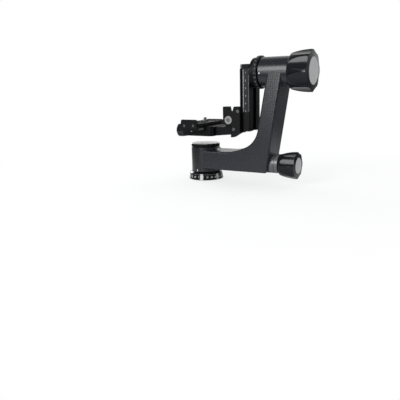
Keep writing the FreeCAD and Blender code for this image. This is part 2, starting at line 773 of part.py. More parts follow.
# ---------------------------------------------------------------- rail
def make_rail():
    front = [(tongue_x, -tongue_tip_half + edge), (tongue_x + edge, -tongue_tip_half),
             (tongue_x + tongue_land, -tongue_tip_half), (rail_x, -tongue_root_half), (rail_x, edge - rail_half),
             (rail_x + edge, -rail_half), (rail_far_x - edge, -rail_half),
             (rail_far_x, edge - rail_half)]
    back = [(x, -y) for x, y in reversed(front)]
    rail = plan_plate(front[0], front[1:] + back, rail_z, rail_top)
    slot_top = tilt_z - hub_r - edge
    rail = rail.cut(block(rail_far_x - rail_slot_depth, rail_far_x, -rail_slot_half, rail_slot_half,
                          rail_z, slot_top))
    for place in rail_screw_places():
        rail = rail.cut(rod(rail_screw_r + screw_fit, tongue_x, rail_far_x, place, X))
        rail = rail.cut(rod(rail_screw_head_r + screw_fit, tongue_x, rail_far_x - rail_screw_grip, place, X))
    for y in (-stop_y, stop_y):
        hole = Vector(stop_x(), y, rail_z)
        rail = rail.cut(rod(stop_shank_r + screw_fit, 0, stop_shank_len + edge, hole, Z))
    save(rail, "rail")


def stop_x():
    return tongue_x - stop_overhang + stop_head_r


def make_rail_screws():
    screws = []
    for place in rail_screw_places():
        seat = place + X * (rail_far_x - rail_screw_grip)
        screws.append(screw(rail_screw_head_r, rail_screw_head_h, rail_screw_r,
                            rail_screw_grip + rail_screw_reach, seat, X, 2.0, 2.5))
    save_group(screws, "rail_screws")


def make_rail_stops():
    stop = plan_plate((tongue_x, -rail_half + jaw_corner), [
        (tongue_x + jaw_corner, -rail_half), (rail_far_x - edge, -rail_half),
        (rail_far_x, edge - rail_half), (rail_far_x, rail_half - edge), (rail_far_x - edge, rail_half),
        (tongue_x + jaw_corner, rail_half), (tongue_x, rail_half - jaw_corner)],
        rail_top, rail_top + top_stop_h)
    rim = [item for item in stop.Edges if at_height(item, rail_top + top_stop_h)]
    save(stop.makeChamfer(edge, rim), "rail_top_stop")
    screws = []
    for y in (-stop_y, stop_y):
        seat = Vector(stop_x(), y, rail_z)
        screws.append(screw(stop_head_r, stop_head_h, stop_shank_r, stop_shank_len, seat, Z, 1.2, 1.2))
    save_group(screws, "rail_bottom_stops")


def at_height(item, height):
    return all(abs(vertex.Z - height) < 1e-6 for vertex in item.Vertexes)


# ---------------------------------------------------------------- carriage
def make_carriage():
    half_land = base_half_y - base_corner
    flank_z = plate_z + dove_edge
    lip_under = flank_z + dove_half - dove_neck_half
    clamp = side_plate((-base_in, platform_z), [
        (base_out, platform_z), (base_out, lip_z - edge), (base_out - edge, lip_z), (dove_lip_half, lip_z),
        (dove_lip_half, lip_under), (dove_floor_half, flank_z), (dove_floor_half, floor_z),
        (-base_in, floor_z)],
        -base_half_y, base_half_y)
    plan = plan_plate((-base_in, -base_half_y), [
        (base_out - base_corner, -base_half_y), (base_out, -half_land), (base_out, half_land),
        (base_out - base_corner, base_half_y), (-base_in, base_half_y)], platform_z, lip_z)
    clamp = clamp.common(plan)
    neck_z = platform_z + neck_top
    core_z = platform_z + core_top
    rise = neck_curve * (1 - math.sqrt(0.5))
    core = side_plate((base_out - 2, platform_z), [
        (column_x, platform_z + neck_rise), (core_x, platform_z + core_foot),
        (core_x, core_z), (core_front_x + 2, core_z), (core_front_x, core_z - 2),
        (core_front_x, neck_z + neck_curve),
        ((core_front_x - rise, neck_z + rise), (core_front_x - neck_curve, neck_z)),
        (base_out - 2, neck_z)], -core_half, core_half)
    body = clamp.fuse(core)
    for y in (-stop_y, stop_y):
        relief_x = tongue_x - stop_overhang - stop_relief
        relief_top = rail_z + height_travel_down + free_gap
        relief_half = stop_head_r + stop_relief
        body = body.cut(block(relief_x, core_x, y - relief_half, y + relief_half, platform_z, relief_top))
    bolt_line = Vector(clamp_bolt_x, 0, clamp_z)
    body = body.cut(rod(clamp_bolt_r + screw_fit, -core_half, core_half, bolt_line, Y))
    for place in jaw_screw_places():
        body = body.cut(rod(jaw_screw_r + screw_fit, -core_half, jaw_screw_len, place, Y))
    body = body.cut(rod(qr_stud_r + seat_fit, -base_in, -qr_stud_in + edge, QR_AXIS, X))
    for y in (-qr_pin_y, qr_pin_y):
        body = body.cut(rod(qr_pin_r + seat_fit, -base_in, -qr_pin_in + edge, QR_AXIS + Y * y, X))
    body = body.cut(rod(stop_pin_r + seat_fit, -base_half_y, stop_pin_len + edge - base_half_y,
                        stop_pin_place(), Y))
    save(body.removeSplitter(), "carriage")


def stop_pin_place():
    return Vector(stop_pin_x, 0, floor_z - stop_pin_drop)


def jaw_screw_places():
    return [Vector(jaw_seat_x(), 0, platform_z + jaw_screw_low_z)]


def jaw_seat_x():
    return (column_x + core_x) / 2


def jaw_plate(top, foot, notch):
    """Jaw in front of the core: ear, column, and a nose under the tongue's flank."""
    ear_z = platform_z + jaw_ear_z
    outline = side_plate((core_front_x, ear_z), [
        (column_x, ear_z), (column_x, foot + edge), (column_x + edge, foot),
        (jaw_far_x - jaw_foot_len, foot), (jaw_far_x, foot + jaw_foot_rise),
        (jaw_far_x, top - edge), (jaw_far_x - edge, top)] + notch + [
        (core_front_x + edge, top), (core_front_x, top - edge)], -jaw_out, 0)
    nose_root = tongue_root_half + flank_gap + (rail_x - jaw_far_x)
    section = plan_plate((core_front_x, -core_half), [
        (core_front_x, -jaw_out + edge), (core_front_x + edge, -jaw_out), (jaw_far_x - edge, -jaw_out),
        (jaw_far_x, -jaw_out + edge), (jaw_far_x, -nose_root),
        (rail_x - (core_half - tongue_root_half - flank_gap), -core_half)], foot, top)
    plate = outline.common(section)
    column_edge = [item for item in plate.Edges if is_column_edge(item, ear_z, foot)]
    plate = plate.makeFillet(jaw_corner * 0.6, column_edge)
    return plate.cut(rod(clamp_bolt_r + screw_fit, -jaw_out, 0, Vector(clamp_bolt_x, 0, clamp_z), Y))


def is_column_edge(item, ear_z, foot):
    upright = all(abs(vertex.X - column_x) < 1e-6 and abs(vertex.Y + jaw_out) < 1e-6
                  for vertex in item.Vertexes)
    ends = sorted(vertex.Z for vertex in item.Vertexes)
    return upright and len(ends) == 2 and ends[0] > foot - 1e-6 and ends[1] < ear_z + 1e-6


def make_jaws():
    bolt_line = Vector(clamp_bolt_x, 0, clamp_z)
    top = platform_z + jaw_top
    notch_z = top - notch_depth
    notch = [(notch_x + notch_half, top), (notch_x + notch_floor, notch_z), (notch_x - notch_floor, notch_z),
             (notch_x - notch_half, top)]
    plate = jaw_plate(top, platform_z - jaw_foot, notch)
    head_seat = -jaw_out - clamp_bolt_proud + clamp_bolt_head_h
    front = plate.cut(rod(clamp_bolt_head_r + screw_fit, -jaw_out, head_seat, bolt_line, Y))
    screws = []
    small = Vector(jaw_screw_x, -jaw_out, platform_z + jaw_screw_z)
    seat = small + Y * (jaw_screw_head_h * 0.6)
    front = front.cut(rod(jaw_screw_head_r + screw_fit, 0, jaw_screw_head_h * 0.6, small, Y))
    front = front.cut(rod(jaw_screw_r + screw_fit, 0, jaw_screw_len, small, Y))
    screws.append(screw(jaw_screw_head_r, jaw_screw_head_h, jaw_screw_r, jaw_screw_len * 0.5, seat, Y,
                        1.1, 1.0))
    for place in jaw_screw_places():
        low = place - Y * jaw_out
        front = front.cut(rod(jaw_screw_head_r + screw_fit, 0, jaw_screw_head_h, low, Y))
        front = front.cut(rod(jaw_screw_r + screw_fit, 0, jaw_screw_len, low, Y))
        seat = low + Y * jaw_screw_head_h
        screws.append(screw(jaw_screw_head_r, jaw_screw_head_h, jaw_screw_r, jaw_screw_len, seat, Y,
                            1.1, 1.0))
    save(front, "front_jaw")
    save_group(screws, "front_jaw_screws")
    rear = mirror_y(jaw_plate(platform_z + rear_jaw_top, platform_z + rear_jaw_foot, []))
    rear = rear.cut(block(core_front_x, core_x, 0, core_half + free_gap, 0, rail_top))
    save(rear, "rear_jaw")


def small_knob(centre, axis, length, node):
    cap_depth = 2.0
    bush_out = clamp_bolt_r + 2.4
    cap_seat = length - cap_depth
    knob = lobed_knob(centre, axis, bush_out, narrow_r=small_knob_narrow_r, waist_r=small_knob_waist_r,
                      waist_h=small_knob_waist_h, wide_r=small_knob_wide_r, face_drop=small_face_drop,
                      length=length, cap_r=small_knob_cap_r, cap_depth=cap_depth, lobes=small_lobe_count,
                      groove_in=small_knob_groove_in, groove_out=small_knob_groove_out,
                      groove_r=small_knob_groove_r)
    save(knob, node)
    save(knob_cap(centre, axis, small_knob_cap_r, cap_seat, length + cap_proud), node + "_cap")
    collar = tube(small_knob_narrow_r - edge, clamp_bolt_r + run_fit, free_gap - small_knob_gap, 0,
                  centre, axis)
    sleeve = tube(bush_out - seat_fit, clamp_bolt_r + run_fit, 0, cap_seat, centre, axis)
    save(collar.fuse(sleeve), node + "_bush")


def make_height_knob():
    bolt_line = Vector(clamp_bolt_x, 0, clamp_z)
    head_seat = -jaw_out - clamp_bolt_proud + clamp_bolt_head_h
    bolt = screw(clamp_bolt_head_r, clamp_bolt_head_h, clamp_bolt_r,
                 2 * jaw_out + small_knob_len - clamp_bolt_head_h - 4, bolt_line + Y * head_seat, Y, 2.6, 0.8)
    save(bolt, "clamp_bolt")
    small_knob(bolt_line + Y * (jaw_out + small_knob_gap), Y, small_knob_len, "height_knob")


# ---------------------------------------------------------------- quick release clamp
def make_qr_clamp():
    flank_z = plate_z + dove_edge
    lip_under = flank_z + dove_half - dove_neck_half
    inner = base_in + free_gap
    jaw = side_plate((-qr_jaw_out, platform_z), [
        (-inner, platform_z), (-inner, plate_z), (-dove_floor_half, plate_z), (-dove_floor_half, flank_z),
        (-dove_lip_half, lip_under), (-dove_lip_half, lip_z), (edge - qr_jaw_out, lip_z),
        (-qr_jaw_out, lip_z - edge)],
        -base_half_y, base_half_y)
    corner = qr_jaw_out - inner - edge
    plan = plan_plate((-dove_lip_half, -base_half_y), [
        (-dove_lip_half, base_half_y), (corner - qr_jaw_out, base_half_y),
        (-qr_jaw_out, base_half_y - corner), (-qr_jaw_out, corner - base_half_y),
        (corner - qr_jaw_out, -base_half_y)], platform_z, lip_z)
    jaw = jaw.common(plan)
    jaw = jaw.cut(rod(qr_stud_r + screw_fit, -qr_jaw_out, 0, QR_AXIS, X))
    for y in (-qr_pin_y, qr_pin_y):
        jaw = jaw.cut(rod(qr_pin_r + run_fit, -qr_jaw_out, 0, QR_AXIS + Y * y, X))
    save(jaw, "qr_jaw")
    pins = []
    for y in (-qr_pin_y, qr_pin_y):
        pins.append(rod(qr_pin_r, 1.0 - qr_jaw_out, -qr_pin_in, QR_AXIS + Y * y, X))
    save_group(pins, "qr_guide_pins")
    knob_x = -qr_jaw_out - small_knob_gap
    save(rod(qr_stud_r, knob_x - qr_knob_len + 4, -qr_stud_in, QR_AXIS, X), "qr_stud")
    small_knob(QR_AXIS + X * knob_x, X * -1, qr_knob_len, "qr_knob")
    pin = turned((0, -stop_pin_proud), [
        (stop_pin_r - 0.4, -stop_pin_proud), (stop_pin_r, 0.4 - stop_pin_proud),
        (stop_pin_r, stop_pin_len), (0, stop_pin_len)], stop_pin_place() - Y * base_half_y, Y, Z)
    save(pin, "clamp_stop_pin")


# ---------------------------------------------------------------- lens plate
def make_lens_plate():
    neck_low = plate_z + dove_edge + dove_half - dove_neck_half
    neck_high = lip_z + 0.4
    shoulder = neck_high + plate_top_half - dove_neck_half
    right = [(dove_half - 0.5, plate_z), (dove_half, plate_z + 0.5), (dove_half, plate_z + dove_edge),
             (dove_neck_half, neck_low), (dove_neck_half, neck_high), (plate_top_half, shoulder),
             (plate_top_half, plate_top - edge), (plate_top_half - edge, plate_top)]
    left = [(-x, z) for x, z in reversed(right)]
    plate = side_plate(right[0], right[1:] + left, -plate_front, plate_rear)
    plate = plate.cut(slot_shape(slot_r, plate_z, plate_top))
    plate = plate.cut(slot_shape(slot_pocket_r, plate_z, plate_z + slot_pocket_h))
    for y in (-pad_y, pad_y):
        plate = plate.cut(block(-pad_half, pad_half, y - pad_len / 2, y + pad_len / 2,
                                plate_top - pad_sink, plate_top))
    for x in (-flange_screw_x, flange_screw_x):
        hole = Vector(x, -plate_front, plate_z + flange_screw_z)
        plate = plate.cut(rod(flange_screw_r + screw_fit, 0, flange_screw_len, hole, Y))
    save(plate, "lens_plate")


def slot_shape(radius, z_low, z_high):
    return plan_plate((radius, -slot_half_len), [
        (radius, slot_half_len), ((0.0, slot_half_len + radius), (-radius, slot_half_len)),
        (-radius, -slot_half_len), ((0.0, -slot_half_len - radius), (radius, -slot_half_len))], z_low, z_high)


def make_lens_flange():
    low = plate_z + flange_foot
    high = low + flange_h
    near = -plate_front - flange_thick
    flange = side_plate((-flange_half, low + edge), [
        (edge - flange_half, low), (flange_half - edge, low), (flange_half, low + edge),
        (flange_half, high - 2), (flange_half - 2, high), (2 - flange_half, high),
        (-flange_half, high - 2)], near, -plate_front)
    screws = []
    for x in (-flange_screw_x, flange_screw_x):
        hole = Vector(x, near, plate_z + flange_screw_z)
        flange = flange.cut(rod(flange_screw_r + screw_fit, 0, flange_thick, hole, Y))
        screws.append(screw(flange_screw_head_r, flange_screw_head_h, flange_screw_r, flange_screw_len, hole,
                            Y, 1.0, 0.7))
    save(flange, "lens_flange")
    save_group(screws, "flange_screws")


def make_plate_pads():
    pads = []
    for y in (-pad_y, pad_y):
        pad = block(-pad_half + seat_fit, pad_half - seat_fit, y - pad_len / 2 + seat_fit,
                    y + pad_len / 2 - seat_fit, plate_top - pad_sink, plate_top - pad_sink + pad_h)
        pads.append(pad.cut(slot_shape(slot_r + edge, plate_z, plate_top + pad_h)))
    save_group(pads, "plate_pads")


def make_camera_screw():
    washer_top = plate_z + slot_pocket_h - free_gap
    save(tube(washer_r, camera_screw_r + run_fit, washer_top - washer_t, washer_top, Vector(), Z),
         "slot_washer")
    seat = Vector(0, 0, washer_top - washer_t - free_gap / 2)
    length = plate_top + pad_h - pad_sink + camera_screw_proud - seat.z
    bolt = screw(camera_head_r, camera_head_h, camera_neck_r, length - edge, seat, Z, 2.6, 1.4)
    tip = seat.z + length
    thread = turned((0, tip - camera_screw_proud + thread_start), [
        (camera_screw_r, tip - camera_screw_proud + thread_start), (camera_screw_r, tip - edge / 2),
        (camera_screw_r - edge / 2, tip), (0, tip)], Vector(), Z, X)
    save(bolt.fuse(thread), "camera_screw")


def main():
    os.makedirs("parts", exist_ok=True)
    make_pan_base()
    make_pan_scale_ring()
    make_thread_insert()
    make_spindle()
    make_base_screws()
    make_pan_bearings()
    make_spindle_nut()
    make_arm()
    make_tower_liner()
    make_tower_cap()
    make_lock_bush()
    make_pan_brake_shoe()
    make_pan_knob()
    make_tilt_liner()
    make_tilt_bearings()
    make_housing_end_ring()
    make_tilt_shaft()
    make_tilt_scale_ring()
    make_tilt_knob()
    make_rail()
    make_rail_screws()
    make_rail_stops()
    make_carriage()
    make_jaws()
    make_height_knob()
    make_qr_clamp()
    make_lens_plate()
    make_lens_flange()
    make_plate_pads()
    make_camera_screw()


main()
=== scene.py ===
import json
import math

import bmesh
import bpy
from mathutils import Matrix, Vector


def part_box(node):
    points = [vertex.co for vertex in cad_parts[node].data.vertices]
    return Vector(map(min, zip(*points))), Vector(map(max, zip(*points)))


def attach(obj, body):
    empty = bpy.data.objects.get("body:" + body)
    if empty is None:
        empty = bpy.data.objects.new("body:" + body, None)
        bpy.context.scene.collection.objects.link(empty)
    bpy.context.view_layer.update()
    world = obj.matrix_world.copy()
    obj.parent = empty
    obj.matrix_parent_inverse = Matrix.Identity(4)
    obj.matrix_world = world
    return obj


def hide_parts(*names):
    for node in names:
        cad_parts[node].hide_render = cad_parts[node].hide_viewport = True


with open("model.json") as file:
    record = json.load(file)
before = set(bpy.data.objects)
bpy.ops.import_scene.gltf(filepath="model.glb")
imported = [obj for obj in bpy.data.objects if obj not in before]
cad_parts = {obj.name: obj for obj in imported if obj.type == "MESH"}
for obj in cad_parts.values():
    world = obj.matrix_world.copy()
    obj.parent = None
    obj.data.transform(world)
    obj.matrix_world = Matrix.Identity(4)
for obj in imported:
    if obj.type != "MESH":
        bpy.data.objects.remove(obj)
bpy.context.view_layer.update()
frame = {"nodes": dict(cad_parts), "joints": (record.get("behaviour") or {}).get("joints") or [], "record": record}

NODES = frame["nodes"]
JOINTS = {joint["name"]: joint for joint in frame["joints"]}
TILT_Z = JOINTS["tilt"]["pos_m"][2]
PAN_LOCK = JOINTS["pan_lock"]["pos_m"]
CLAMP_BOLT = JOINTS["height_lock"]["pos_m"]

# ---------------------------------------------------------------- camera of the photograph
CAMERA_PLACE = Vector((0.4645, -0.7764, 0.1714))
CAMERA_YAW = 31.69        # degrees from the -Y side towards +X
CAMERA_PITCH = 13.21      # degrees down
CAMERA_ROLL = 1.57        # degrees
SENSOR_MM = 36.0
LENS_MM = 46.43
CLIP_START = 0.01

# ---------------------------------------------------------------- studio
ROOM_LIGHT = (0.93, 0.96, 1.0)
ROOM_LEVEL = 0.50         # what matt surfaces receive from all round
WALL_SIDE = Vector((-0.52, 0.85, 0.0)).normalized()     # where the bright wall stands
WALL_NEAR = 0.78          # cosine of the angle from the wall's middle, where it is still white
WALL_FAR = 0.38           # cosine where the room is dim
ROOM_GLOSS = 0.18         # what polished surfaces mirror away from the wall
FLOOR_GLOSS = 0.30        # how much of the wall's light the far floor mirrors
FLOOR_HALF = 6.0
FLOOR_Z = -0.0003         # just under the foot
SHADE_WHITE = 0.70        # share of plain white that the camera sees in the floor by the foot
SHADE_NEAR, SHADE_FAR = 0.10, 0.50      # distances between which that share grows to 1
GLOSS_CENTRE_X = 0.06     # mirrors see the lit floor near this place, and the wall's light
GLOSS_NEAR, GLOSS_FAR = 0.12, 0.45      # in the floor beyond these distances from it
PART_MIDDLE = (0.06, 0.0, 0.10)
PAN_RING = (0.0, 0.0, 0.01)
LAMPS = (                 # name, place, target, width, height, watts
    ("key", (-0.30, -1.12, 0.70), PART_MIDDLE, 0.55, 0.66, 10.5),
    ("strip", (-0.07, -1.19, 0.150), PAN_RING, 0.42, 0.08, 3.0),
    ("side", (1.20, 0.48, 0.22), PART_MIDDLE, 0.4, 0.5, 3.4),
    ("back", (0.25, 1.0, 0.75), PART_MIDDLE, 0.9, 0.3, 3.4),
    ("rear fill", (-1.05, 0.55, 0.50), PART_MIDDLE, 0.7, 0.6, 9),
)

# ---------------------------------------------------------------- surfaces of the solids
RING_FOOT_R = 0.030       # cone of the pan scale ring
RING_FOOT_Z = 0.0008
RING_SHOULDER_R = 0.02844
RING_SHOULDER_Z = 0.0109
TOWER_R = 0.0248
HOUSING_R = 0.0236
HOUSING_FROM_X = 0.05     # the housing lies beyond this, the tower before it
TILT_RING_R = 0.026
TILT_RING_X = 0.1064
RAIL_FACE_Y = -0.0203
CAP_FACE_Z = 0.0618       # above this the tower's cap is turned bright
BOSS_R = 0.0172           # reach of the pan lock's boss round its axis
BOSS_ROOT_X = 0.1277      # where the slanting end face of the upright crosses that axis
BOSS_ROOT_LEAN = 0.164    # x gained for each z along that face
SKIN = 0.0003             # a point this near a cylinder counts as its surface
FACING = 0.7              # a surface looks along an axis where its normal's share passes this

# ---------------------------------------------------------------- carbon weave
TOW = 0.0035              # width of one tow
GAP_EASE = 0.7            # how much fainter the gaps are on faces that look along x
WARP_TONE = (0.0265, 0.0287, 0.0362)
WEFT_TONE = (0.0220, 0.0238, 0.0305)
STRAND_TONE = (0.0150, 0.0163, 0.0210)
CLOUD_TONE = (0.011, 0.012, 0.016)
GAP_TONE = (0.0040, 0.0046, 0.0066)
TOWER_TONE = (0.005, 0.0055, 0.0070)
BOSS_TONE = (0.095, 0.095, 0.100)

# ---------------------------------------------------------------- scales
INK = 0.00004             # half the thickness of a mark; half of it lies in the surface
SCALE_DEGREES = 15        # from one number to the next
SCALE_STEP = math.radians(SCALE_DEGREES)
SCALE_NUMBERS = 360 // SCALE_DEGREES
STEP_PARTS = 5            # short lines divide a step into so many parts
FONT_SIZE = 1.37          # font size for each unit of a digit's height


# ---------------------------------------------------------------- shader helper
class Shader:
    """A principled material. Inputs may be numbers, colours or sockets."""

    def __init__(self, name):
        self.material = bpy.data.materials.new(name)
        self.material.use_nodes = True
        self.tree = self.material.node_tree
        self.surface = self.tree.nodes["Principled BSDF"]

    def put(self, socket, value):
        if isinstance(value, bpy.types.NodeSocket):
            self.tree.links.new(value, socket)
        elif socket.type == "RGBA" and not hasattr(value, "__len__"):
            socket.default_value = (value, value, value, 1)
        elif socket.type == "RGBA":
            socket.default_value = (*value[:3], 1)
        else:
            socket.default_value = value

    def add(self, kind, inputs=(), **settings):
        node = self.tree.nodes.new(kind)
        for key, value in settings.items():
            setattr(node, key, value)
        for key, value in dict(inputs).items():
            self.put(node.inputs[key], value)
        return node

    def set(self, **values):
        for key, value in values.items():
            self.put(self.surface.inputs[key.replace("_", " ")], value)

    def math(self, operation, *values):
        node = self.add("ShaderNodeMath", dict(enumerate(values)), operation=operation)
        return node.outputs[0]

    def mix(self, factor, low, high):
        """Colour from low to high."""
        node = self.add("ShaderNodeMix", {0: factor, 6: low, 7: high}, data_type="RGBA")
        return node.outputs[2]

    def blend(self, factor, low, high):
        """Number from low to high."""
        node = self.add("ShaderNodeMix", {0: factor, 2: low, 3: high}, data_type="FLOAT")
        return node.outputs[0]

    def span(self, value, low, high, to_low=0.0, to_high=1.0):
        """The value's run from low to high, carried to another run and held at its ends."""
        inputs = {0: value, 1: low, 2: high, 3: to_low, 4: to_high}
        return self.add("ShaderNodeMapRange", inputs).outputs[0]

    def place(self):
        return self.add("ShaderNodeTexCoord").outputs["Object"]

    def axes(self, vector=None):
        node = self.add("ShaderNodeSeparateXYZ", {0: vector or self.place()})
        return node.outputs[0], node.outputs[1], node.outputs[2]

    def reach(self, a, b):
        """Distance of the point (a, b) from the origin."""
        squares = self.math("ADD", self.math("POWER", a, 2.0), self.math("POWER", b, 2.0))
        return self.math("SQRT", squares)

    def normal(self):
        return self.add("ShaderNodeNewGeometry").outputs["True Normal"]

    def noise(self, scale, detail, roughness=0.5):
        inputs = {"Vector": self.place(), "Scale": scale, "Detail": detail,
                  "Roughness": roughness}
        return self.add("ShaderNodeTexNoise", inputs).outputs["Fac"]

    def rounded(self, radius):
        """Normal with edges rounded to a radius."""
        return self.add("ShaderNodeBevel", {"Radius": radius}, samples=4).outputs[0]

    def dot(self, first, second):
        node = self.add("ShaderNodeVectorMath", {0: first, 1: second}, operation="DOT_PRODUCT")
        return node.outputs["Value"]

    def bump(self, height, strength, depth, round_edge=0.0):
        inputs = {"Height": height, "Strength": strength, "Distance": depth}
        if round_edge:
            inputs["Normal"] = self.rounded(round_edge)
        self.put(self.surface.inputs["Normal"], self.add("ShaderNodeBump", inputs).outputs[0])

    def worn_edges(self, width):
        """1 on edges, 0 on flat ground."""
        soft = self.rounded(width)
        hard = self.add("ShaderNodeNewGeometry").outputs["Normal"]
        return self.span(self.dot(soft, hard), 0.995, 0.90)


MATERIALS = {}


def keep(name, shader):
    MATERIALS[name] = shader.material
    return shader


# ---------------------------------------------------------------- materials
def anodised(name, tone, rough, grain=0.12, wear=0.03, gloss=0.3):
    """Bead-blasted, dyed aluminium: fine grain, faint clouds, edges rubbed paler."""
    s = keep(name, Shader(name))
    cloud = s.noise(45, 3)
    fine = s.noise(2600, 1)
    edges = s.worn_edges(0.0005)
    ground = s.mix(cloud, [c * 0.75 for c in tone], [c * 1.3 for c in tone])
    rubbed = s.math("MULTIPLY", edges, s.span(s.noise(300, 2), 0.35, 0.7))
    s.set(Base_Color=s.mix(rubbed, ground, [c + wear for c in tone]),
          Specular_IOR_Level=gloss)
    mottle = s.math("ADD", cloud, s.math("MULTIPLY", fine, 0.5))
    s.set(Roughness=s.span(mottle, 0.4, 1.1, rough - 0.06, rough + 0.08))
    s.bump(fine, grain, 0.00002, 0.0004)


def carbon(name):
    """Plain weave of carbon tows under satin resin.

    The weave runs round the tower, along the limb and round the housing. The pan lock's boss is
    bare and paler.
    """
    s = keep(name, Shader(name))
    x, y, z = s.axes()
    nx, ny, nz = s.axes(s.normal())

    # Which surface a point lies on, and its place (u, v) on that surface unrolled.
    high = s.math("SUBTRACT", z, TILT_Z)
    round_tower = s.math("MULTIPLY", s.math("ARCTAN2", y, x), TOWER_R)
    round_housing = s.math("MULTIPLY", s.math("ARCTAN2", y, high), HOUSING_R)
    tower = s.math("LESS_THAN", s.reach(x, y), TOWER_R + SKIN)
    housing = s.math("LESS_THAN", s.reach(high, y), HOUSING_R + SKIN)
    housing = s.math("MULTIPLY", housing, s.math("GREATER_THAN", x, HOUSING_FROM_X))
    front = s.math("GREATER_THAN", s.math("ABSOLUTE", ny), FACING)
    side = s.math("GREATER_THAN", s.math("ABSOLUTE", nx), s.math("ABSOLUTE", nz))
    u = s.blend(front, y, x)
    v = s.blend(front, s.blend(side, x, z), z)
    u = s.blend(tower, u, round_tower)
    v = s.blend(tower, v, z)
    u = s.blend(housing, u, x)
    v = s.blend(housing, v, round_housing)

    # A chequer of warp and weft, each tow crowned across and diving at its ends.
    column = s.math("DIVIDE", u, TOW)
    row = s.math("DIVIDE", v, TOW)
    step = s.math("ADD", s.math("FLOOR", column), s.math("FLOOR", row))
    warp = s.math("LESS_THAN", s.math("FLOORED_MODULO", step, 2.0), 0.5)
    beside = s.math("ABSOLUTE", s.math("SUBTRACT", s.math("FRACT", column), 0.5))
    above = s.math("ABSOLUTE", s.math("SUBTRACT", s.math("FRACT", row), 0.5))
    across = s.blend(warp, above, beside)
    along = s.blend(warp, beside, above)
    crown = s.math("SUBTRACT", 1.0, s.math("POWER", s.math("MULTIPLY", across, 2.0), 2.0))
    dive = s.math("MULTIPLY", s.math("POWER", s.math("MULTIPLY", along, 2.0), 4.0), 0.5)
    height = s.math("SUBTRACT", crown, dive)

    # The gaps between tows are dark. Strands, clouds and the tower tone the weave further.
    gap = s.span(s.math("MAXIMUM", beside, above), 0.28, 0.47)
    end_on = s.math("GREATER_THAN", s.math("ABSOLUTE", nx), FACING)
    eased = s.math("MULTIPLY", end_on, GAP_EASE)
    gap = s.math("MULTIPLY", gap, s.math("SUBTRACT", 1.0, eased))
    cloud = s.noise(30, 3)
    strands = s.noise(900, 2)
    tone = s.mix(warp, WEFT_TONE, WARP_TONE)
    tone = s.mix(s.span(strands, 0.35, 0.75, 0.0, 0.25), tone, STRAND_TONE)
    tone = s.mix(gap, tone, GAP_TONE)
    tone = s.mix(s.math("MULTIPLY", cloud, 0.30), tone, CLOUD_TONE)
    tone = s.mix(s.math("MULTIPLY", tower, 0.65), tone, TOWER_TONE)

    # The boss: near its axis and outside the slanting end face of the upright.
    boss = s.math("LESS_THAN", s.reach(s.math("SUBTRACT", z, PAN_LOCK[2]), y), BOSS_R)
    lean = s.math("MULTIPLY", s.math("SUBTRACT", z, PAN_LOCK[2]), BOSS_ROOT_LEAN)
    limb_edge = s.math("ADD", lean, BOSS_ROOT_X)
    boss = s.math("MULTIPLY", boss, s.math("GREATER_THAN", x, limb_edge))
    tone = s.mix(boss, tone, BOSS_TONE)
    rough = s.blend(warp, s.span(strands, 0.3, 0.7, 0.26, 0.31), 0.27)
    rough = s.blend(boss, rough, s.span(cloud, 0.3, 0.7, 0.20, 0.28))
    s.set(Base_Color=tone, Roughness=rough)
    s.set(Specular_IOR_Level=0.44)
    s.bump(s.math("MULTIPLY", height, s.math("SUBTRACT", 1.0, boss)), 0.07, 0.00006)


def gloss(name):
    """Polished and dyed aluminium with faint handling marks."""
    s = keep(name, Shader(name))
    marks = s.noise(28, 4, roughness=0.65)
    edges = s.worn_edges(0.0006)
    ground = s.mix(marks, (0.0055, 0.0062, 0.0080), (0.0085, 0.0094, 0.0115))
    rubbed = s.math("MULTIPLY", edges, 0.7)
    s.set(Base_Color=s.mix(rubbed, ground, (0.045, 0.045, 0.048)))
    s.set(Roughness=s.span(marks, 0.3, 0.75, 0.11, 0.18), Specular_IOR_Level=0.26)
    s.bump(s.noise(900, 2), 0.03, 0.00003, 0.0006)


def turned_metal(name, tone, rough, metallic):
    """Turned metal: clouded colour, with a fine grain in its gloss."""
    s = keep(name, Shader(name))
    grain_size = 0.00035
    grain = s.noise(1 / grain_size, 2)
    cloud = s.noise(60, 2)
    bright = [min(1, c * 1.1) for c in tone]
    s.set(Base_Color=s.mix(cloud, [c * 0.86 for c in tone], bright))
    s.set(Metallic=metallic, Roughness=s.span(grain, 0.3, 0.7, rough - 0.05, rough + 0.07))
    s.bump(grain, 0.08, 0.00002, 0.0002)


def bolt_steel(name):
    """Stainless: the clamp bolt's face is turned, with painted shade darkening its socket in the middle."""
    s = keep(name, Shader(name))
    socket_r, rim_r, pitch = 0.0030, 0.0036, 0.0005
    x, y, z = s.axes()
    radius = s.reach(s.math("SUBTRACT", x, CLAMP_BOLT[0]), s.math("SUBTRACT", z, CLAMP_BOLT[2]))
    # Painted shade: inside the socket's radius the colour is darker, standing in for shade in the recess.
    middle = s.span(radius, socket_r, rim_r, 1.0, 0.0)
    rings = s.math("SINE", s.math("MULTIPLY", radius, 2 * math.pi / pitch))
    cloud = s.noise(160, 3)
    ground = s.mix(cloud, (0.190, 0.186, 0.178), (0.270, 0.265, 0.254))
    s.set(Base_Color=s.mix(middle, ground, (0.125, 0.120, 0.115)))
    s.set(Metallic=0.25, Roughness=s.span(rings, -1.0, 1.0, 0.34, 0.44))
    s.bump(s.math("ADD", cloud, s.math("MULTIPLY", rings, 0.3)), 0.12, 0.00003, 0.0003)


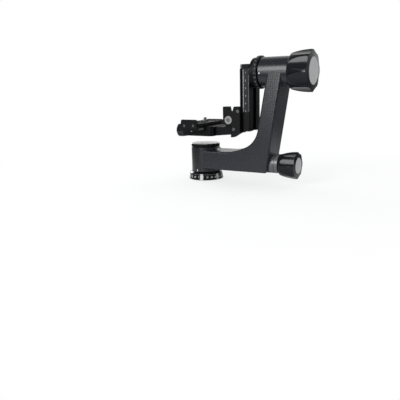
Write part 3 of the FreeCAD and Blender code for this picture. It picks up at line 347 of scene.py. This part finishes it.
def silver_top(name):
    """Black anodised cap whose upper face is turned bright."""
    s = keep(name, Shader(name))
    pitch = 0.0006
    x, y, z = s.axes()
    radius = s.reach(x, y)
    nx, ny, nz = s.axes(s.normal())
    upward = s.math("GREATER_THAN", nz, 0.5)
    face = s.math("MULTIPLY", upward, s.math("GREATER_THAN", z, CAP_FACE_Z))
    rings = s.math("SINE", s.math("MULTIPLY", radius, 2 * math.pi / pitch))
    cloud = s.noise(40, 3)
    dark = s.mix(cloud, (0.0045, 0.0048, 0.0058), (0.0080, 0.0083, 0.0095))
    s.set(Base_Color=s.mix(face, dark, s.mix(cloud, 0.66, 0.74)))
    s.set(Roughness=s.blend(face, 0.40, s.span(rings, -1.0, 1.0, 0.28, 0.38)),
          Metallic=s.blend(face, 0.0, 0.85))
    s.set(Specular_IOR_Level=0.05)
    s.bump(s.math("MULTIPLY", rings, face), 0.05, 0.00003)


def disc_cap(name):
    """Satin grey inlay with a fine grain and clouds."""
    s = keep(name, Shader(name))
    cloud = s.noise(50, 3)
    fine = s.noise(1500, 2)
    s.set(Base_Color=s.mix(cloud, (0.345, 0.363, 0.352), (0.405, 0.422, 0.410)))
    s.set(Roughness=s.span(fine, 0.3, 0.7, 0.40, 0.52), Specular_IOR_Level=0.4)
    s.bump(fine, 0.06, 0.00002)


def engraving(name, tone):
    """Pale filled engraving, a little uneven."""
    s = keep(name, Shader(name))
    wear = s.noise(1100, 3)
    worn = s.span(wear, 0.35, 0.75)
    s.set(Base_Color=s.mix(worn, [c * 1.2 for c in tone], [c * 0.8 for c in tone]))
    s.set(Roughness=s.span(wear, 0.3, 0.7, 0.5, 0.65), Specular_IOR_Level=0.3)
    s.bump(wear, 0.08, 0.00001)


def rubber(name):
    """Matt rubber with dust in its ribs."""
    s = keep(name, Shader(name))
    dust = s.noise(500, 3)
    s.set(Base_Color=s.mix(s.span(dust, 0.45, 0.8), 0.008, 0.020),
          Roughness=s.span(dust, 0.3, 0.7, 0.62, 0.8))
    s.set(Specular_IOR_Level=0.2)
    s.bump(dust, 0.25, 0.00008)


def plastic(name, tone):
    """Moulded plastic with a fine grain and faint clouds."""
    s = keep(name, Shader(name))
    fine = s.noise(1800, 2)
    cloud = s.noise(80, 2)
    s.set(Base_Color=s.mix(cloud, [c * 0.85 for c in tone], [c * 1.15 for c in tone]))
    s.set(Roughness=s.span(fine, 0.3, 0.7, 0.45, 0.58))
    s.bump(fine, 0.08, 0.00003)


def make_materials():
    carbon("carbon")
    # Black anodising's own near-black colour, made darker still as painted shadow of a mounted lens, which this
    # scene leaves out.
    anodised("anodised_black", (0.0044, 0.0048, 0.0054), 0.46, wear=0.04, gloss=0.12)
    anodised("scale_black", (0.0025, 0.0027, 0.0032), 0.12, grain=0.03, wear=0.02, gloss=0.50)
    anodised("tilt_ring_black", (0.0060, 0.0063, 0.0070), 0.42, gloss=0.15)
    anodised("strip_black", (0.012, 0.013, 0.014), 0.42, gloss=0.2)
    gloss("knob_black")
    disc_cap("cap_grey")
    silver_top("satin_silver")
    engraving("engraving", (0.50, 0.51, 0.52))
    engraving("dim_engraving", (0.20, 0.205, 0.215))
    turned_metal("brass", (0.62, 0.46, 0.20), 0.32, 1.0)
    turned_metal("machined_steel", (0.48, 0.48, 0.49), 0.30, 1.0)
    turned_metal("screw_steel", (0.120, 0.120, 0.125), 0.34, 0.6)
    bolt_steel("polished_steel")
    turned_metal("bearing_steel", (0.55, 0.55, 0.57), 0.18, 1.0)
    plastic("brake_plastic", (0.42, 0.39, 0.33))
    plastic("washer_plastic", (0.02, 0.02, 0.02))
    rubber("rubber_pad")


# Nodes whose finish differs from that of their slot.
OWN_FINISH = {"tilt_scale_ring": "tilt_ring_black"}


def dress_nodes():
    """Give each solid the material of its slot in the record."""
    for entry in frame["record"]["subparts"]:
        finish = OWN_FINISH.get(entry["node"], entry["material_slot"])
        piece = NODES[entry["node"]]
        piece.data.materials.clear()
        piece.data.materials.append(MATERIALS[finish])


# ---------------------------------------------------------------- pieces
def make_object(name, data):
    item = bpy.data.objects.new(name, data)
    bpy.context.scene.collection.objects.link(item)
    return item


def make_piece(name, points, faces, body, slot, material=None):
    """A flat-shaded piece that rides a body, in the material of its slot or in one of its own."""
    mesh = bpy.data.meshes.new(name)
    mesh.from_pydata(points, [], faces)
    mesh.validate()
    piece = make_object(name, mesh)
    mesh.materials.append(MATERIALS[material or slot])
    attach(piece, body)
    return piece


class Marks:
    """Thin closed digits and strokes. A place function carries (across, up, out) to the surface."""

    BOX = [(0, 2, 3, 1), (4, 5, 7, 6), (0, 1, 5, 4), (2, 6, 7, 3), (0, 4, 6, 2), (1, 3, 7, 5)]

    def __init__(self):
        self.points = []
        self.faces = []

    def solid(self, points, faces, place):
        first = len(self.points)
        self.points += [place(*point) for point in points]
        self.faces += [[first + index for index in face] for face in faces]

    def stroke(self, across, up, place):
        """Box over two ranges, such as the width and the height of a line."""
        points = [(u, v, w) for w in (-INK, INK) for v in up for u in across]
        self.solid(points, self.BOX, place)

    def word(self, text, height, place, narrow=1.0):
        """Digits of a height, centred on the place and narrowed across."""
        curve = bpy.data.curves.new("word", "FONT")
        curve.body = text
        curve.size = height * FONT_SIZE
        curve.align_x = "CENTER"
        curve.align_y = "CENTER"
        curve.extrude = INK
        curve.resolution_u = 2
        holder = make_object("word", curve)
        mesh = bpy.data.meshes.new_from_object(holder)
        joined = bmesh.new()
        joined.from_mesh(mesh)
        bmesh.ops.remove_doubles(joined, verts=joined.verts, dist=1e-7)
        joined.verts.ensure_lookup_table()
        self.solid([(vert.co.x * narrow, vert.co.y, vert.co.z) for vert in joined.verts],
                   [[vert.index for vert in face.verts] for face in joined.faces], place)
        joined.free()
        bpy.data.meshes.remove(mesh)
        bpy.data.objects.remove(holder)
        bpy.data.curves.remove(curve)

    def finish(self, name, body, material="engraving"):
        return make_piece(name, self.points, self.faces, body, "satin_silver", material)


def on_pan_ring(angle, height):
    """Round the cone of the pan scale ring: across runs with the angle, up runs up the cone."""
    lean = (RING_FOOT_R - RING_SHOULDER_R) / (RING_SHOULDER_Z - RING_FOOT_Z)

    def place(u, v, w):
        z = height + v
        radius = RING_FOOT_R - (z - RING_FOOT_Z) * lean
        turn = angle + u / radius
        return ((radius + w) * math.cos(turn), (radius + w) * math.sin(turn), z)
    return place


def on_tower(angle, height):
    """Round the tower: across runs with the angle, up runs up."""
    def place(u, v, w):
        turn = angle + u / TOWER_R
        return ((TOWER_R + w) * math.cos(turn), (TOWER_R + w) * math.sin(turn), height + v)
    return place


def on_tilt_ring(angle):
    """Round the tilt scale ring: across climbs from the -Y side to the top, up points to -X."""
    def place(u, v, w):
        turn = angle + u / TILT_RING_R
        radius = TILT_RING_R + w
        return (TILT_RING_X - v, -radius * math.cos(turn), TILT_Z + radius * math.sin(turn))
    return place


def on_housing(x, angle):
    """Round the housing: across runs to +X, up climbs from the -Y side towards the top."""
    def place(u, v, w):
        turn = angle + v / HOUSING_R
        radius = HOUSING_R + w
        return (x + u, -radius * math.cos(turn), TILT_Z + radius * math.sin(turn))
    return place


def on_rail(x, z, lift=0.0):
    """On the rail's front face, or lifted off it: across runs to +X, up runs up."""
    def place(u, v, w):
        return (x + u, RAIL_FACE_Y - lift - w, z + v)
    return place


def make_pan_scale():
    """Numbers every 15 degrees with short lines above them, and the arm's index line."""
    zero_at, pointer_at = math.radians(-86), math.radians(-97)
    digit_h, digit_z, digit_narrow = 0.0032, 0.0054, 0.78
    tick_z, pointer_z = 0.0096, 0.0168
    long_w, short_w, pointer_w = 0.00018, 0.00010, 0.0009
    numbers = Marks()
    ticks = Marks()
    for step in range(SCALE_NUMBERS):
        angle = zero_at + step * SCALE_STEP
        numbers.word(str(step * SCALE_DEGREES), digit_h, on_pan_ring(angle, digit_z), digit_narrow)
        ticks.stroke((-long_w, long_w), (-0.0010, 0.0010), on_pan_ring(angle, tick_z))
        for part in range(1, STEP_PARTS):
            ticks.stroke((-short_w, short_w), (-0.0004, 0.0010),
                         on_pan_ring(angle + part * SCALE_STEP / STEP_PARTS, tick_z))
    numbers.finish("pan_scale_numbers", "base")
    ticks.finish("pan_scale_ticks", "base", "dim_engraving")
    pointer = Marks()
    pointer.stroke((-pointer_w, pointer_w), (-0.0018, 0.0018), on_tower(pointer_at, pointer_z))
    pointer.finish("pan_index_mark", "arm")


def make_tilt_scale():
    """Angles from level to upright and back every 15 degrees, with lines, and the arm's index."""
    first_at, first_label = math.radians(27), 150
    digit_h, long_w, short_w, pointer_w = 0.0022, 0.00015, 0.00009, 0.0011
    pointer_x, pointer_at = 0.1136, -0.0014 / HOUSING_R
    marks = Marks()
    for step in range(SCALE_NUMBERS):
        angle = first_at - step * SCALE_STEP
        label = (step * SCALE_DEGREES + first_label) % 180
        marks.word(str(min(label, 180 - label)), digit_h, on_tilt_ring(angle))
        marks.stroke((-long_w, long_w), (-0.0026, -0.0017), on_tilt_ring(angle))
        for part in range(1, STEP_PARTS):
            marks.stroke((-short_w, short_w), (-0.0026, -0.0021),
                         on_tilt_ring(angle - part * SCALE_STEP / STEP_PARTS))
    marks.finish("tilt_scale_numbers", "cradle", "dim_engraving")
    pointer = Marks()
    pointer.stroke((-pointer_w, pointer_w), (-pointer_w, pointer_w),
                   on_housing(pointer_x, pointer_at))
    pointer.finish("tilt_index_mark", "arm")


def make_rail_scale():
    """Dark strip with a thick and a thin edge line, six numbers and ten short lines to each."""
    left, right = 0.0842, 0.0946
    low, high = 0.1170, 0.1846
    edge_in, thick, thin = 0.0003, 0.00022, 0.00008
    first_z, spacing, digit_x, digit_h = 0.1789, 0.0120, 0.0887, 0.0024
    ticks, tick_in, tick_w, tick_len, long_len = 10, 0.0007, 0.00007, 0.0009, 0.0015
    middle = ((left + right) / 2, (low + high) / 2)
    half = ((right - left) / 2, (high - low) / 2)
    strip = Marks()
    strip.stroke((-half[0], half[0]), (-half[1], half[1]), on_rail(*middle))
    make_piece("rail_scale_strip", strip.points, strip.faces, "cradle", "scale_black",
               "strip_black")
    marks = Marks()
    for x, width in ((left + edge_in, thick), (right - edge_in, thin)):
        marks.stroke((-width, width), (-half[1], half[1]), on_rail(x, middle[1], INK))
    for number in range(6):
        z = first_z - number * spacing
        marks.word(str(number + 1), digit_h, on_rail(digit_x, z, INK))
        for tick in range(ticks):
            below = z - tick * spacing / ticks
            if below < low:
                break
            reach = long_len if tick in (0, ticks // 2) else tick_len
            marks.stroke((0, reach), (-tick_w, tick_w), on_rail(left + tick_in, below, INK))
    marks.finish("rail_scale_numbers", "cradle")


# ---------------------------------------------------------------- threads and ribs
def round_at(radius):
    return lambda angle: radius


def turned_grid(levels, count):
    """Closed skin through levels of (height, radius function of the angle), with two end faces."""
    points = []
    for height, radius in levels:
        for step in range(count):
            angle = 2 * math.pi * step / count
            reach = radius(angle)
            points.append((reach * math.cos(angle), reach * math.sin(angle), height))
    faces = []
    for level in range(len(levels) - 1):
        for step in range(count):
            after = (step + 1) % count
            low, high = level * count, (level + 1) * count
            faces.append((low + step, low + after, high + after, high + step))
    faces.append(list(range(count))[::-1])
    faces.append(list(range((len(levels) - 1) * count, len(levels) * count)))
    return points, faces


def screw_thread(crest_r, depth, pitch, start):
    """For a height and a share of the depth, the radius of a V thread at each angle."""
    flank = 1.25              # steeper than 1, so that the root is flat

    def at(height, share):
        def radius(angle):
            phase = ((height - start) / pitch - angle / (2 * math.pi)) % 1.0
            return crest_r - depth * share * min(1.0, abs(2 * phase - 1) * flank)
        return radius
    return at


def make_camera_screw():
    """1/4 inch screw with a fluted head, a hexagon socket, a plain neck and its thread."""
    low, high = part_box("camera_screw")
    foot, tip = low[2], high[2]
    head_r, head_h, head_bevel, shoulder_bevel = 0.0068, 0.0026, 0.0006, 0.0003
    flute_foot, flute_depth, flutes = 0.0004, 0.0002, 24
    neck_r, neck_h, thread_r = 0.0029, 0.0030, 0.00317
    thread_depth, pitch, run_in = 0.00062, 0.00127, 8
    tip_bevel_h, tip_bevel_r, level_h, sides = 0.0004, 0.0007, 0.00016, 72
    socket_af, socket_h = 0.0045, 0.0014
    thread = screw_thread(thread_r, thread_depth, pitch, foot)

    def hex_at(angle):
        third = (angle + math.pi / 6) % (math.pi / 3) - math.pi / 6
        return socket_af / 2 / math.cos(third)

    def fluted(angle):
        return head_r - flute_depth * (0.5 + 0.5 * math.cos(angle * flutes))

    shoulder = foot + head_h
    levels = [(foot + socket_h, hex_at), (foot, hex_at),
              (foot, round_at(head_r - head_bevel)),
              (foot + flute_foot, fluted), (shoulder - shoulder_bevel, fluted),
              (shoulder, round_at(head_r - shoulder_bevel)),
              (shoulder, round_at(neck_r))]
    run_start = shoulder + neck_h
    run = tip - tip_bevel_h - run_start
    steps = int(run / level_h)
    for step in range(steps + 1):
        height = run_start + run * step / steps
        share = min(1.0, step / run_in)
        shape = thread(height, share)
        lack = (thread_r - neck_r) * (1 - share)
        levels.append((height, lambda angle, s=shape, gap=lack: s(angle) - gap))
    levels.append((tip, round_at(thread_r - tip_bevel_r)))
    points, faces = turned_grid(levels, sides)
    piece = make_piece("threaded_camera_screw", points, faces, "camera_screw", "polished_steel")
    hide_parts("camera_screw")


def make_thread_insert():
    """Brass bush with the 3/8 inch tripod thread in its bore, flared at both mouths."""
    low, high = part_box("thread_insert")
    outer = (high[0] - low[0]) / 2
    rise = high[2] - low[2]
    major, depth, pitch, root_room = 0.0047625, 0.00068, 0.0015875, 0.15
    flare, run_in, level_h, sides = 0.0008, 4, 0.0002, 64
    thread = screw_thread(major + depth * root_room, depth, pitch, low[2])
    levels = []
    steps = int(rise / level_h)
    for step in range(steps + 1):
        height = low[2] + rise * step / steps
        mouth = max(0.0, 1.0 - min(step, steps - step) / run_in)
        shape = thread(height, 1.0 - mouth)
        levels.append((height, lambda angle, s=shape, m=mouth: s(angle) + flare * m))
    levels = levels[::-1] + [(low[2], round_at(outer)), (high[2], round_at(outer))]
    points, faces = turned_grid(levels, sides)
    faces = faces[:-2]
    last = (len(levels) - 1) * sides
    faces += [(last + step, last + (step + 1) % sides, (step + 1) % sides, step)
              for step in range(sides)]
    piece = make_piece("threaded_insert", points, faces, "base", "brass")
    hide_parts("thread_insert")


def ribbed_pad(near, far, foot, top, half, first):
    """Points and faces, from a first index, of one pad with trapezoid ribs along x."""
    rib_h, pitch = 0.00035, 0.0016
    rise_from, rise_to = 0.18, 0.30     # shares of the pitch over which a rib's flank climbs
    ribs = round((far - near) / pitch)
    step = (far - near) / ribs
    ground = top - rib_h
    profile = [(near, foot), (near, ground)]
    for rib in range(ribs):
        here = near + rib * step
        profile += [(here + step * rise_from, ground), (here + step * rise_to, top),
                    (here + step * (1 - rise_to), top), (here + step * (1 - rise_from), ground)]
    profile += [(far, ground), (far, foot)]
    size = len(profile)
    points = [(x, y, z) for x in (-half, half) for y, z in profile]
    faces = [list(range(size)), list(range(size, 2 * size))[::-1]]
    for index in range(size):
        after = (index + 1) % size
        faces.append((index, index + size, after + size, after))
    return points, [[first + index for index in face] for face in faces]


def slot_cutter(low_z, high_z):
    """Prism of the plate's slot, with round ends."""
    radius, end_y, steps = 0.0044, 0.014, 32
    rim = []
    for step in range(steps + 1):
        angle = math.pi * step / steps
        rim.append((radius * math.cos(angle), end_y + radius * math.sin(angle)))
    rim += [(-x, -y) for x, y in rim]
    size = len(rim)
    points = [(x, y, z) for z in (low_z, high_z) for x, y in rim]
    faces = [list(range(size))[::-1], list(range(size, 2 * size))]
    faces += [(i, (i + 1) % size, (i + 1) % size + size, i + size) for i in range(size)]
    mesh = bpy.data.meshes.new("cutter")
    mesh.from_pydata(points, [], faces)
    return make_object("cutter", mesh)


def make_ribbed_pads():
    """The plate's two rubber pads, with the slot cut out of them."""
    low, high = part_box("plate_pads")
    inner_y, clear = 0.011, 0.002
    first, first_faces = ribbed_pad(low[1], -inner_y, low[2], high[2], high[0], 0)
    second, second_faces = ribbed_pad(inner_y, high[1], low[2], high[2], high[0], len(first))
    piece = make_piece("ribbed_pads", first + second, first_faces + second_faces, "lens_plate",
                       "rubber_pad")
    cutter = slot_cutter(low[2] - clear, high[2] + clear)
    modifier = piece.modifiers.new("slot", "BOOLEAN")
    modifier.operation = "DIFFERENCE"
    modifier.object = cutter
    modifier.solver = "EXACT"
    depsgraph = bpy.context.evaluated_depsgraph_get()
    cut = bpy.data.meshes.new_from_object(piece.evaluated_get(depsgraph))
    piece.modifiers.clear()
    piece.data = cut
    bpy.data.objects.remove(cutter)
    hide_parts("plate_pads")


# ---------------------------------------------------------------- stage
def make_floor():
    """Pale floor: lit by the lamps near the foot, and further out as WALL_* and SHADE_* say."""
    mesh = bpy.data.meshes.new("floor")
    corners = [(-1, -1), (1, -1), (1, 1), (-1, 1)]
    mesh.from_pydata([(x * FLOOR_HALF, y * FLOOR_HALF, FLOOR_Z) for x, y in corners], [],
                     [(0, 1, 2, 3)])
    floor = make_object("floor", mesh)
    s = Shader("floor")
    x, y, z = s.axes()
    away = s.reach(x, y)
    s.set(Base_Color=s.mix(s.noise(3, 2), 0.86, 0.88), Roughness=0.9, Specular_IOR_Level=0.1)
    rays = s.add("ShaderNodeLightPath")
    glossy = rays.outputs["Is Glossy Ray"]
    seen = s.math("MAXIMUM", rays.outputs["Is Camera Ray"], rays.outputs["Is Transmission Ray"])
    along = s.math("ADD", s.math("MULTIPLY", x, WALL_SIDE.x), s.math("MULTIPLY", y, WALL_SIDE.y))
    facing = s.math("DIVIDE", along, s.math("MAXIMUM", away, 0.001))
    wall = s.span(facing, WALL_FAR, WALL_NEAR, ROOM_GLOSS, 1.0)
    mirrored = s.math("MULTIPLY", wall, FLOOR_GLOSS)
    glow = s.add("ShaderNodeEmission", {"Color": 1.0, "Strength": s.blend(glossy, 1.0, mirrored)})
    shown = s.math("MULTIPLY", s.span(away, SHADE_NEAR, SHADE_FAR, SHADE_WHITE, 1.0), seen)
    beyond = s.reach(s.math("SUBTRACT", x, GLOSS_CENTRE_X), y)
    reflected = s.math("MULTIPLY", s.span(beyond, GLOSS_NEAR, GLOSS_FAR), glossy)
    far = s.math("MAXIMUM", shown, reflected)
    join = s.add("ShaderNodeMixShader", {0: far, 1: s.surface.outputs[0], 2: glow.outputs[0]})
    out = s.tree.nodes["Material Output"]
    s.put(out.inputs["Surface"], join.outputs[0])
    mesh.materials.append(s.material)


class World(Shader):
    """The world's background, with the same helpers."""

    def __init__(self, name):
        self.world = bpy.data.worlds.new(name)
        self.world.use_nodes = True
        self.tree = self.world.node_tree
        self.surface = self.tree.nodes["Background"]
        bpy.context.scene.world = self.world


def make_world():
    """White for the camera, a bright wall in a dimmer room for gloss, even light for the rest."""
    s = World("studio")
    rays = s.add("ShaderNodeLightPath")
    seen = s.math("MAXIMUM", rays.outputs["Is Camera Ray"], rays.outputs["Is Transmission Ray"])
    toward = s.add("ShaderNodeTexCoord").outputs["Generated"]
    facing = s.dot(toward, tuple(WALL_SIDE))
    inputs = {0: facing, 1: WALL_FAR, 2: WALL_NEAR, 3: ROOM_GLOSS, 4: 1.0}
    wall = s.add("ShaderNodeMapRange", inputs, interpolation_type="SMOOTHSTEP").outputs[0]
    level = s.blend(rays.outputs["Is Glossy Ray"], ROOM_LEVEL, wall)
    level = s.blend(seen, level, 1.0)
    white = s.math("MAXIMUM", seen, rays.outputs["Is Glossy Ray"])
    s.put(s.surface.inputs["Strength"], level)
    s.put(s.surface.inputs["Color"], s.mix(white, ROOM_LIGHT, (1.0, 1.0, 1.0)))


def area_lamp(name, place, target, width, height, power):
    """Rectangular lamp at a place, aimed at a target."""
    light = bpy.data.lights.new(name, "AREA")
    light.shape = "RECTANGLE"
    light.size = width
    light.size_y = height
    light.energy = power
    lamp = make_object(name, light)
    lamp.location = place
    lamp.rotation_euler = (Vector(target) - Vector(place)).to_track_quat("-Z", "Y").to_euler()


def make_camera():
    """The photograph's camera, as solved from it."""
    yaw = math.radians(CAMERA_YAW)
    pitch = math.radians(CAMERA_PITCH)
    roll = math.radians(CAMERA_ROLL)
    back = Vector((math.sin(yaw) * math.cos(pitch), -math.cos(yaw) * math.cos(pitch),
                   math.sin(pitch)))
    right = (-back).cross(Vector((0, 0, 1))).normalized()
    up = right.cross(-back)
    turned_right = right * math.cos(roll) - up * math.sin(roll)
    turned_up = up * math.cos(roll) + right * math.sin(roll)
    facing = Matrix((turned_right, turned_up, back)).transposed().to_4x4()
    data = bpy.data.cameras.new("camera")
    data.sensor_width = SENSOR_MM
    data.lens = LENS_MM
    data.clip_start = CLIP_START
    camera = make_object("camera", data)
    camera.matrix_world = Matrix.Translation(CAMERA_PLACE) @ facing
    bpy.context.scene.camera = camera


make_materials()
dress_nodes()
make_pan_scale()
make_tilt_scale()
make_rail_scale()
make_camera_screw()
make_thread_insert()
make_ribbed_pads()
make_floor()
make_world()
for lamp in LAMPS:
    area_lamp(*lamp)
make_camera()
bpy.context.scene.view_settings.view_transform = "Standard"
